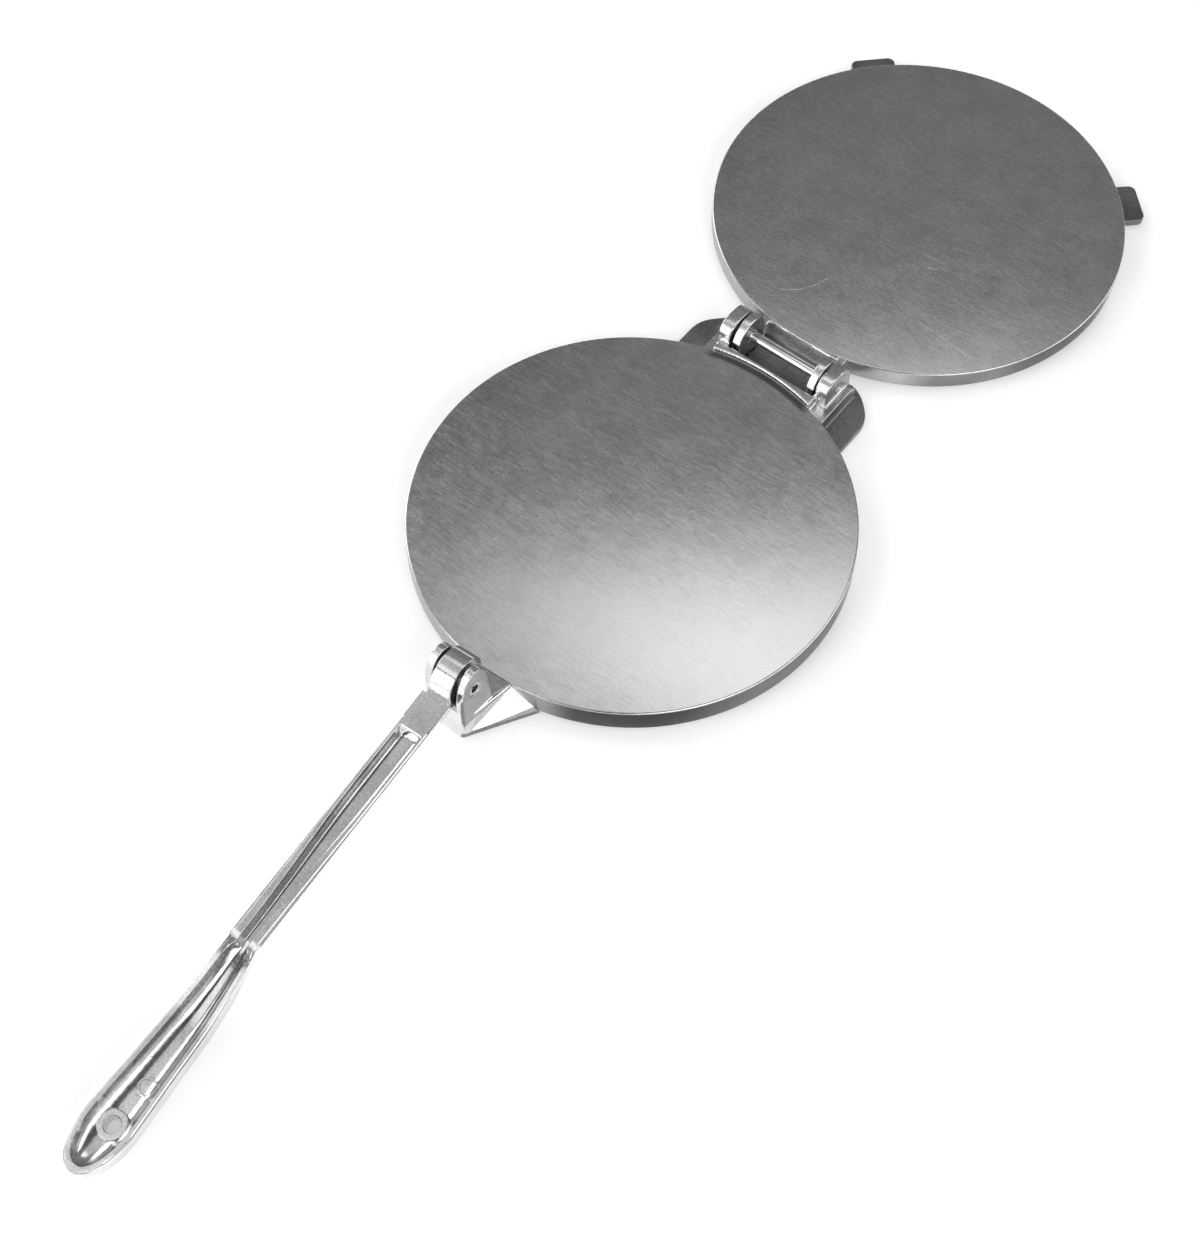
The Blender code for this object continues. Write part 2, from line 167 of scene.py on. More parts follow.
def circle(cx, cy, r, count, start=0.0, end=360.0):
    closed = end - start >= 360.0
    steps = count if closed else count - 1
    return [
        (
            cx + r * math.cos(math.radians(start + (end - start) * i / steps)),
            cy + r * math.sin(math.radians(start + (end - start) * i / steps)),
        )
        for i in range(count)
    ]


def turned(name, cx, profile, count=ROUND):
    return loft(name, [[(x, y, z) for x, y in circle(cx, 0, r, count)] for r, z in profile])


def hull(name, points):
    bm = bmesh.new()
    for p in points:
        bm.verts.new(p)
    bmesh.ops.convex_hull(bm, input=bm.verts[:])
    loose = [v for v in bm.verts if not v.link_faces]
    bmesh.ops.delete(bm, geom=loose, context="VERTS")
    return made(name, bm)


def baked(obj):
    """Replaces an object's mesh by what its modifiers make of it."""
    graph = bpy.context.evaluated_depsgraph_get()
    mesh = bpy.data.meshes.new_from_object(obj.evaluated_get(graph))
    obj.modifiers.clear()
    obj.data = mesh
    return obj


def boolean(target, others, operation):
    for other in others:
        modifier = target.modifiers.new("Boolean", "BOOLEAN")
        modifier.operation = operation
        modifier.solver = "EXACT"
        modifier.object = other
        baked(target)
        bpy.data.objects.remove(other)
    return target


def union(target, others):
    return boolean(target, others, "UNION")


def cut(target, others):
    return boolean(target, others, "DIFFERENCE")


def both_sides(name, outline, plane, a, b, middle=0.0):
    if plane == "xz":
        return [slab(name + "_l", outline, plane, middle + a, middle + b), slab(name + "_r", outline, plane, middle - b, middle - a)]
    return [
        slab(name + "_l", [(x, middle + y) for x, y in outline], plane, a, b),
        slab(name + "_r", [(x, middle - y) for x, y in outline], plane, a, b),
    ]


def softened(points, rounds=2):
    """Cuts the corners of a line again and again, so that it curves."""
    for _ in range(rounds):
        line = [points[0]]
        for a, b in zip(points, points[1:]):
            line.append((0.75 * a[0] + 0.25 * b[0], 0.75 * a[1] + 0.25 * b[1]))
            line.append((0.25 * a[0] + 0.75 * b[0], 0.25 * a[1] + 0.75 * b[1]))
        points = line + [points[-1]]
    return points


def cast(obj, voxel, rounds, factor=0.5):
    """Rounds every edge and inner corner a little, as sand casting does."""
    remesh = obj.modifiers.new("Remesh", "REMESH")
    remesh.mode = "VOXEL"
    remesh.voxel_size = voxel
    smooth = obj.modifiers.new("Smooth", "SMOOTH")
    smooth.factor = factor
    smooth.iterations = rounds
    return baked(obj)


def placed(obj, body, materials, angle=None, replaces=(), even=False):
    """Millimetres to metres, into the shared frame, onto its CAD body."""
    move = Matrix.Translation(Vector((SHIFT_X, 0, -TABLE)) * MM) @ Matrix.Scale(MM, 4)
    obj.data.transform(move)
    obj.data.shade_smooth()
    if angle is not None:
        obj.data.set_sharp_from_angle(angle=math.radians(angle))
    if even:
        # Flat faces keep flat reflections beside their small rounded edges.
        normals = obj.modifiers.new("Normals", "WEIGHTED_NORMAL")
        normals.keep_sharp = True
        normals.weight = 60
    obj.data.materials.clear()
    for material in materials:
        obj.data.materials.append(material)
    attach(obj, body)
    if replaces:
        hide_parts(*replaces)
    return obj


def ribs(cx, low, high):
    reach = PLATE_R - 2.4
    bars = []
    for i in range(4):
        a = math.radians(45.0 * i)
        along = Vector((math.cos(a), math.sin(a)))
        across = Vector((-along.y, along.x)) * RIB_W / 2
        corners = [along * reach + across, along * -reach + across, along * -reach - across, along * reach - across]
        bars.append(slab("bar", [(cx + c.x, c.y) for c in corners], "xy", low + 0.11 * i, high + 0.03 * i))
    inner, outer = RIB_RING - RIB_W / 2, RIB_RING + RIB_W / 2
    ring = turned("ring", cx, ((outer, low + 0.5), (outer, high + 0.2)), 96)
    cut(ring, [turned("ring_hole", cx, ((inner, low - 3), (inner, high + 3)), 96)])
    return bars + [ring]


def plate(name, cx, face, rim, under, draft):
    """A round plate with softened edges, its skirt and hollow underside."""
    r = PLATE_R
    edge = [(r - 0.75, face), (r - 0.45, face - 0.05), (r - 0.2, face - 0.2), (r - 0.05, face - 0.45), (r, face - 0.75)]
    foot = [(r, rim + 0.8), (r - 0.1, rim + 0.4), (r - 0.4, rim + 0.1), (r - 0.8, rim), (r - SKIRT + 0.6, rim), (r - SKIRT + 0.15, rim + 0.15), (r - SKIRT, rim + 0.6)]
    return turned(name, cx, edge + foot + [(r - SKIRT - draft, under)])


def rim_sector(cx, start, end, top, low):
    """Part of a plate's rim, just under its skin, for a casting to grow out of."""
    outer = circle(cx, 0, PLATE_R - 0.3, 40, start, end)
    inner = circle(cx, 0, PLATE_R - 3.4, 40, start, end)
    return slab("rim_sector", outer + inner[::-1], "xy", low, top)


# ---- castings ----

EAR = [
    (-110.3, -1.4), (-110.9, 7.0), (-111.6, 14.0), (-111.9, 21.0), (-112.5, 25.6), (-114.0, 29.2), (-116.3, 31.7), (-119.2, 32.7), (-122.0, 32.1),
    (-124.4, 30.1), (-126.3, 27.0), (-127.8, 22.6), (-128.7, 17.0), (-129.0, 10.0), (-129.0, 1.2), (-128.4, -1.4),
]
WALL = [(-128.9, 0.0), (-129.0, 7.0), (-128.2, 7.9), (-125.9, 8.0), (-124.6, 6.2), (-115.4, 6.2), (-113.4, 7.2), (-111.2, 6.4), (-110.4, 0.0)]
BLOCK = (
    (-128.7, 9.2, 3.0), (-127.7, 10.3, 3.0), (-110.0, 10.3, 1.0), (-127.0, 8.9, -10.4), (-126.2, 9.6, -10.2), (-103.2, 12.6, -1.5), (-98.0, 12.6, -1.5),
    (-128.2, 6.6, TABLE), (-127.6, 7.6, TABLE), (-126.6, 8.6, TABLE), (-98.0, 12.6, TABLE),
)
GUSSET = (
    (-126.0, 9.3, -10.3), (-103.4, 12.3, -1.9), (-98.0, 12.3, -1.9), (-99.4, 21.8, -10.6), (-94.0, 21.0, -10.6), (-94.0, 5.0, -10.6),
    (-126.7, 8.3, -12.8), (-98.2, 25.6, -12.8), (-94.0, 24.0, -12.8),
    (-126.7, 8.3, TABLE + 0.04), (-98.2, 25.6, TABLE + 0.04), (-94.0, 24.0, TABLE + 0.04), (-112.0, 4.0, TABLE + 0.04),
)
WING = [
    (84.0, 49.0), (111.0, 49.0), (115.4, 48.2), (119.3, 46.1), (124.1, 41.6), (127.3, 37.4), (129.2, 33.3), (129.4, 30.0), (128.3, 27.0), (126.0, 25.5), (84.0, 25.5),
]
PLINTH = [(90.0, -14.1), (90.0, -3.6), (121.6, -3.6), (124.0, -5.2), (124.6, -8.0), (124.6, -14.1)]
REAR_EAR_SHAPE = [
    (105.0, -14.5), (104.6, 2.0), (104.7, 5.5), (105.4, 7.8), (107.0, 9.4), (109.3, 10.2), (113.0, 10.5), (117.5, 10.3), (120.3, 9.6), (122.4, 8.3),
    (124.0, 6.2), (124.8, 3.0), (125.3, -14.5),
]
EDGE_WALL = [(92.0, -14.6), (92.0, -0.75), (97.0, -0.75), (97.0, 1.5), (106.4, 1.5), (115.5, -8.0), (115.5, -14.6)]


def base_disc():
    disc = plate("base_disc", 0, 0.0, BASE_RIM, BASE_UNDER, 1.2)
    return union(disc, ribs(0, BASE_RIM + 0.8, BASE_UNDER + 0.7))


def front_clevis():
    block = hull("front_clevis", [(x, side * y, z) for side in (-1, 1) for x, y, z in BLOCK])
    outline = EAR[:4] + softened(EAR[3:13]) + EAR[13:]
    (inner, outer), parts = FRONT_EAR, [slab("bridge", softened(WALL, 1), "xz", -7.3, 7.3), rim_sector(0, 160, 200, -1.0, BASE_RIM + 0.5)]
    for side in (-1, 1):
        parts.append(hull("gusset", [(x, side * y, z) for x, y, z in GUSSET]))
        # The ear's front corner has a flat along it.
        sections = [(inner, -200.0), (outer - 1.1, -200.0), (outer, -127.9)]
        parts.append(loft("ear", [[(max(x, least), side * w, z) for x, z in outline] for w, least in sections]))
    union(block, parts)
    cut(block, [slab("front_hole", circle(PIVOT_X, PIVOT_Z, FRONT_HOLE_R + 0.15, 64), "xz", -14, 14)])
    return cast(block, 0.3, 4)


def rear_hinge():
    block = slab("rear_hinge", EDGE_WALL, "xz", -27.4, 27.4)
    arch = circle(HINGE_X, 0.4, 7.6, 40, -8.0, 188.0) + circle(HINGE_X, 0.4, 6.9, 40, -8.0, 188.0)[::-1]
    cut(block, [turned("edge_room", 0, ((PLATE_R + 0.1, -0.76), (PLATE_R + 0.1, 4.0)))])
    union(
        block,
        [rim_sector(0, -34, 34, -0.9, BASE_RIM + 0.5)]
        + [slab("trough", [(112.0, -14.55), (112.0, -12.75), (124.2, -12.75), (124.2, -14.55)], "xz", -26.9, 26.9)]
        + both_sides("wing", WING[:1] + softened(WING[1:10]) + WING[10:], "xy", TABLE, -11.9, WING_SIDE)
        + both_sides("plinth", PLINTH, "xz", 24.2, 34.8, HINGE_SIDE)
        + both_sides("rear_ear", REAR_EAR_SHAPE[:1] + softened(REAR_EAR_SHAPE[1:12]) + REAR_EAR_SHAPE[12:], "xz", *REAR_EAR, HINGE_SIDE),
    )
    room = REAR_EAR[0] - 0.15
    cut(block, [slab("hinge_room", circle(HINGE_X, 0, 12.4, 96), "xz", HINGE_SIDE - room, HINGE_SIDE + room)])
    cut(block, [slab("rear_hole", circle(HINGE_X, 0, REAR_HOLE_R + 0.15, 48), "xz", -40, 40)])
    cut(block, both_sides("arch", arch, "xz", REAR_EAR[1] - 0.6, REAR_EAR[1] + 3, HINGE_SIDE))
    return cast(block, 0.4, 4)


def top_disc():
    disc = plate("top_disc", TOP_X, TOP_FACE, TOP_RIM, TOP_UNDER, 0.8)
    union(disc, ribs(TOP_X, TOP_RIM + 0.5, TOP_UNDER + 0.7))
    (x0, x1), y = PAD_X, PAD_HALF
    pad = []
    for cx, cy, start in ((x1 - 6, y - 6, 0), (x0 + 6, y - 6, 90), (x0 + 6, 6 - y, 180), (x1 - 6, 6 - y, 270)):
        pad += circle(cx, cy, 6, 10, start, start + 90.0)
    return union(disc, [slab("pad", pad, "xy", TABLE, TOP_UNDER + 0.4)])


def top_lugs():
    lug = circle(HINGE_X, 0, LUG_R, 60, 0.0, 270.0) + [(122.0, -10.7), (136.5, -11.3), (136.5, -2.35), (127.4, -2.35), (126.6, -1.6)]
    web = [(135.0, -2.12), (130.4, -2.12), (126.9, -7.6), (126.5, -8.6), (126.5, -11.2), (135.0, -11.2)]
    block = slab("top_lugs", web, "xz", HINGE_SIDE - LUG[0] - 0.4, HINGE_SIDE + LUG[0] + 0.4)
    union(block, [rim_sector(TOP_X, 160, 200, TOP_FACE - 0.9, TOP_RIM + 0.4)] + both_sides("lug", lug, "xz", *LUG, HINGE_SIDE))
    cut(block, [slab("lug_hole", circle(HINGE_X, 0, LUG_HOLE_R + 0.15, 48), "xz", -40, 40)])
    return cast(block, 0.3, 4)


def top_tab(side):
    a = math.radians(TAB_ANGLE) * side
    out, across = Vector((math.cos(a), math.sin(a))), Vector((-math.sin(a), math.cos(a)))
    corner = 3.6
    shape = [(98.6, -TAB_HALF), (98.6, TAB_HALF)]
    shape += circle(TAB_R - corner, TAB_HALF - corner, corner, 12, 90.0, 0.0)
    shape += circle(TAB_R - corner, corner - TAB_HALF, corner, 12, 0.0, -90.0)
    outline = [(TOP_X + out.x * r + across.x * w, out.y * r + across.y * w) for r, w in shape]
    block = slab("top_tab_l" if side > 0 else "top_tab_r", outline, "xy", *TAB_Z)
    union(block, [rim_sector(TOP_X, TAB_ANGLE * side - 8, TAB_ANGLE * side + 8, TOP_FACE - 1.0, TOP_RIM + 0.4)])
    return cast(block, 0.35, 4)


def handle_axes():
    pitch, yaw = math.radians(HANDLE_PITCH), math.radians(HANDLE_YAW)
    flat = Vector((-math.cos(yaw), -math.sin(yaw), 0))
    along = flat * math.cos(pitch) - Vector((0, 0, math.sin(pitch)))
    up = flat * math.sin(pitch) + Vector((0, 0, math.cos(pitch)))
    return along, along.cross(up), up


def rim_half(x):
    if x <= 222.0:
        return curve(RIM_HALF, x)
    return 11.9 * math.sqrt(max(0.0, 1 - ((x - 222.0) / (HANDLE_LENGTH - 222.0)) ** 2.1))


def blend(x):
    t = min(1.0, max(0.0, (x - 139.0) / 22.0))
    return t * t * (3 - 2 * t)


def ease(x, low, high):
    t = min(1.0, max(0.0, (x - low) / (high - low)))
    return t * t * (3 - 2 * t)


def spoon_half(x):
    if x > 222.0:
        return 9.0 * math.sqrt(max(0.004, 1 - ((x - 222.0) / (SPOON_END - 222.0)) ** 2.1))
    start = min(1.0, max(0.0, (x - SPOON_START) / 5.0))
    return 2.9 + (rim_half(x) - FLANGE - 2.9) * start * (2 - start)


def handle_section(x):
    """The handle's outline across x: the outside, the stepped rim and the hollow between the rims."""
    half, top = max(rim_half(x), 0.9), RIM_UP - curve(RIM_DROP, x)
    depth = curve(DEPTH, x)
    near = min(1.0, max(0.0, (x - 232.0) / (HANDLE_LENGTH - 232.0)))
    depth *= 1 - 0.34 * (1 - math.sqrt(1 - near * near))
    g, turn = blend(x), ease(x, 138.5, 143.5)
    outside = [
        (half * (ka + (kb - ka) * g), -depth * (da + (db - da) * g))
        for (ka, da), (kb, db) in list(zip(SHANK_SHAPE, GRIP_SHAPE))[:0:-1]
    ]
    line = [(outside[0][0] * 0.45, -depth)] + outside

    inner = (1 - turn) * curve(SHANK_RECESS, x) + turn * spoon_half(x)
    hollow = ((1 - turn) * SHANK_RECESS_DEPTH + turn * curve(SPOON_DEPTH, x)) * ease(x, 30.6, 33.2)
    if x > 222.0:
        hollow *= math.sqrt(max(0.0, 1 - ((x - 222.0) / (SPOON_END - 222.0)) ** 4)) if x < SPOON_END else 0.0
    inner = min(inner, half * 0.8)
    k = min(1.0, half / 3.0)
    sunk, lip = 0.3 * ease(x, 26.0, 29.0) * (1 - ease(x, 234.0, 240.0)), min(1.0, hollow)
    edge, start = half - 0.6 * k, inner + 0.55 * k * min(1.0, (half - inner) / 2.0)
    middle = start + (edge - start) * 0.70
    line += [(half - 0.02 * k, -0.42 * k - sunk), (half - 0.13 * k, -0.18 * k - sunk), (half - 0.32 * k, -0.06 * k - sunk), (edge, -sunk)]
    line += [(middle + 0.12 * k, -sunk), (middle - 0.12 * k, 0.0), (start, 0.0)]
    line += [(inner + 0.30 * (start - inner), -0.07 * lip), (inner + 0.08 * (start - inner), -0.22 * lip), (inner, -0.45 * lip)]
    line += [
        (inner * (ka + (kb - ka) * turn), -max(hollow * (da + (db - da) * turn), 0.46 * lip))
        for (ka, da), (kb, db) in zip(SHANK_HOLLOW, SPOON_HOLLOW)
    ]
    whole = [(0.0, -depth)] + line + [(0.0, -hollow)] + [(-w, h) for w, h in reversed(line)]
    return [(x, w, top + h) for w, h in whole]


def flared_hole(name, radius, z0, z1, rim):
    return loft(name, [[(HOLE_AT + (x - HOLE_AT), y, z) for x, y in circle(HOLE_AT, 0, r, 64)] for r, z in ((radius, z0), (radius, z1 - 0.35), (radius + rim, z1), (radius + rim, z1 + 6.0))])


def handle():
    stations = {SHANK_START + 1.4 * i for i in range(149) if SHANK_START + 1.4 * i < 222.0}
    stations |= {29.0 + 0.4 * i for i in range(13)} | {136.5 + 0.5 * i for i in range(22)}
    stations |= {222.0 + (HANDLE_LENGTH - 222.0) * math.sin(math.radians(a * 2.5)) for a in range(0, 37)} | {SPOON_END - 0.12, SPOON_END, SPOON_END + 0.1}
    places = []
    for x in sorted(stations):
        if not places or x - places[-1] > 0.08:
            places.append(x)
    body = loft("handle_casting", [handle_section(x) for x in places])

    w, r = KNUCKLE_HALF, KNUCKLE_R
    rings = ((r - 0.7, -w), (r - 0.35, -w + 0.06), (r - 0.12, -w + 0.2), (r, -w + 0.55), (r, w - 0.55), (r - 0.12, w - 0.2), (r - 0.35, w - 0.06), (r - 0.7, w))
    knuckle = loft("knuckle", [[(x, y, z) for x, z in circle(0, 0, radius, 128)] for radius, y in rings])
    cut(knuckle, [slab("bore", circle(0, 0, KNUCKLE_BORE, 64), "xz", -12, 12)])
    link = slab("link", [(5.0, RIM_UP - 0.2), (14.5, RIM_UP - 0.2), (14.5, -6.6), (5.0, -7.8)], "xz", -KNUCKLE_HALF + 0.15, KNUCKLE_HALF - 0.15)
    union(body, [knuckle, link])

    floor = RIM_UP - 7.7 - 6.4
    rings = ((BOSS_R, floor - 1.2), (BOSS_R, floor + 1.1), (BOSS_R - 0.12, floor + 1.4), (BOSS_R - 0.4, floor + 1.57), (BOSS_R - 0.8, floor + 1.6))
    union(body, [loft("boss", [[(x, y, z) for x, y in circle(HOLE_AT, 0, radius, 72)] for radius, z in rings])])
    cut(body, [flared_hole("hole", HOLE_R, floor - 12, floor + 1.6, 0.3)])
    # The bare ring that an ejector leaves.
    ring = loft("ring", [[(x, y, z) for x, y in circle(204.0, -1.2, radius, 56)] for radius, z in ((3.9, floor - 0.6), (3.9, floor + 0.42), (3.7, floor + 0.58))])
    cut(ring, [loft("ring_hole", [[(x, y, z) for x, y in circle(204.0, -1.2, radius, 56)] for radius, z in ((3.15, floor - 2.0), (3.15, floor + 0.42), (3.35, floor + 2.0))])])
    union(body, [ring])

    along, side, up = handle_axes()
    turn = Matrix((
        (along.x, side.x, up.x, PIVOT_X + side.x * HANDLE_SIDE),
        (along.y, side.y, up.y, side.y * HANDLE_SIDE),
        (along.z, side.z, up.z, PIVOT_Z + side.z * HANDLE_SIDE),
        (0, 0, 0, 1),
    ))
    body.data.transform(turn)
    if turn.determinant() < 0:
        body.data.flip_normals()
    return body


def hinge_pin():
    r, half = HINGE_PIN_R, HINGE_PIN_HALF
    rings = [(r - 0.5, -half), (r - 0.15, -half + 0.12), (r, -half + 0.5), (r, half - 0.5), (r - 0.15, half - 0.12), (r - 0.5, half)]
    return loft("hinge_rod", [[(x, HINGE_SIDE + w, z) for x, z in circle(HINGE_X, 0, radius, 64)] for radius, w in rings])


def handle_pin():
    gap = math.degrees(math.asin(FRONT_PIN_SLOT / 2 / FRONT_PIN_R))
    start = 112.0
    outer = circle(PIVOT_X, PIVOT_Z, FRONT_PIN_R, 64, start + gap, start + 360 - gap - 0.01)
    inner_gap = math.degrees(math.asin(FRONT_PIN_SLOT / 2 / FRONT_PIN_BORE))
    inner = circle(PIVOT_X, PIVOT_Z, FRONT_PIN_BORE, 64, start + inner_gap, start + 360 - inner_gap - 0.01)
    return slab("spring_pin", outer + inner[::-1], "xz", -FRONT_PIN_HALF, FRONT_PIN_HALF)


# ---- materials ----


class Nodes:
    """Short names for building a node tree."""

    def __init__(self, tree):
        self.tree = tree

    def add(self, kind, **settings):
        node = self.tree.nodes.new(kind)
        for key, value in settings.items():
            setattr(node, key, value)
        return node

    def link(self, a, b):
        self.tree.links.new(a, b)

    def coords(self, stretch=(1, 1, 1), turn=0.0):
        where = self.add("ShaderNodeTexCoord")
        mapping = self.add("ShaderNodeMapping")
        mapping.inputs["Scale"].default_value = stretch
        mapping.inputs["Rotation"].default_value = (0, 0, math.radians(turn))
        self.link(where.outputs["Object"], mapping.inputs["Vector"])
        return mapping.outputs["Vector"]

    def noise(self, vector, scale, detail=4.0, rough=0.55):
        node = self.add("ShaderNodeTexNoise")
        node.inputs["Scale"].default_value = scale
        node.inputs["Detail"].default_value = detail
        node.inputs["Roughness"].default_value = rough
        self.link(vector, node.inputs["Vector"])
        return node.outputs["Fac"]

    def ramp(self, value, low, high, out_low=0.0, out_high=1.0, smooth=True):
        node = self.add("ShaderNodeMapRange")
        node.interpolation_type = "SMOOTHSTEP" if smooth else "LINEAR"
        node.inputs["From Min"].default_value = low
        node.inputs["From Max"].default_value = high
        node.inputs["To Min"].default_value = out_low
        node.inputs["To Max"].default_value = out_high
        self.link(value, node.inputs["Value"])
        return node.outputs["Result"]

    def math(self, operation, a, b=None):
        node = self.add("ShaderNodeMath", operation=operation)
        for i, value in enumerate((a, b)):
            if value is None:
                continue
            if isinstance(value, (int, float)):
                node.inputs[i].default_value = value
            else:
                self.link(value, node.inputs[i])
        return node.outputs[0]

    def mix(self, factor, a, b):
        node = self.add("ShaderNodeMix", data_type="RGBA")
        for name, value in (("Factor", factor), ("A", a), ("B", b)):
            sockets = [s for s in node.inputs if s.name == name and s.enabled and (s.type == "RGBA" or name == "Factor")]
            socket = sockets[0]
            if isinstance(value, (int, float)):
                socket.default_value = value
            elif isinstance(value, tuple):
                socket.default_value = (*value, 1.0)
            else:
                self.link(value, socket)
        return next(s for s in node.outputs if s.type == "RGBA" and s.enabled)


# Scratches on the top plate's face: both ends, and how far the middle bows out, in millimetres.
MARKS = (
    (147.8, 26.3, 171.0, 10.2, -3.7, 1.0),
    (173.3, -34.0, 168.3, -74.5, 0.8, 0.45),
    (173.0, -48.5, 169.5, -78.0, -0.6, 0.4),
    (230.9, -39.5, 232.8, -95.0, 1.2, 0.3),
    (254.6, -33.0, 259.0, -87.6, -1.0, 0.3),
    (196.9, -47.1, 193.6, -90.0, 0.6, 0.35),
    (276.3, 86.5, 279.0, 78.4, 0.5, 0.6),
)


def placed_scratches(n):
    """Thin scratches along shallow curves, broken up by grain."""
    place = n.add("ShaderNodeSeparateXYZ")
    n.link(n.coords(), place.inputs["Vector"])
    broken = n.ramp(n.noise(n.coords(), 700.0, 2.0), 0.34, 0.52)
    total = 0.0
    for x0, y0, x1, y1, bow, strength in MARKS:
        length = math.hypot(x1 - x0, y1 - y0)
        dx, dy = (x1 - x0) / length, (y1 - y0) / length
        px = n.math("SUBTRACT", place.outputs["X"], (SHIFT_X + x0) * MM)
        py = n.math("SUBTRACT", place.outputs["Y"], y0 * MM)
        t = n.math("DIVIDE", n.math("ADD", n.math("MULTIPLY", px, dx), n.math("MULTIPLY", py, dy)), length * MM)
        away = n.math("ADD", n.math("MULTIPLY", px, -dy), n.math("MULTIPLY", py, dx))
        bend = n.math("MULTIPLY", n.math("MULTIPLY", t, n.math("SUBTRACT", 1.0, t)), 4.0 * bow * MM)
        near = n.ramp(n.math("ABSOLUTE", n.math("SUBTRACT", away, bend)), 0.00010, 0.00030, strength, 0.0)
        ends = n.ramp(n.math("ABSOLUTE", n.math("SUBTRACT", t, 0.5)), 0.36, 0.5, 1.0, 0.0)
        one = n.math("MULTIPLY", near, ends)
        total = n.math("MAXIMUM", one, total)
    return n.math("MULTIPLY", total, broken)


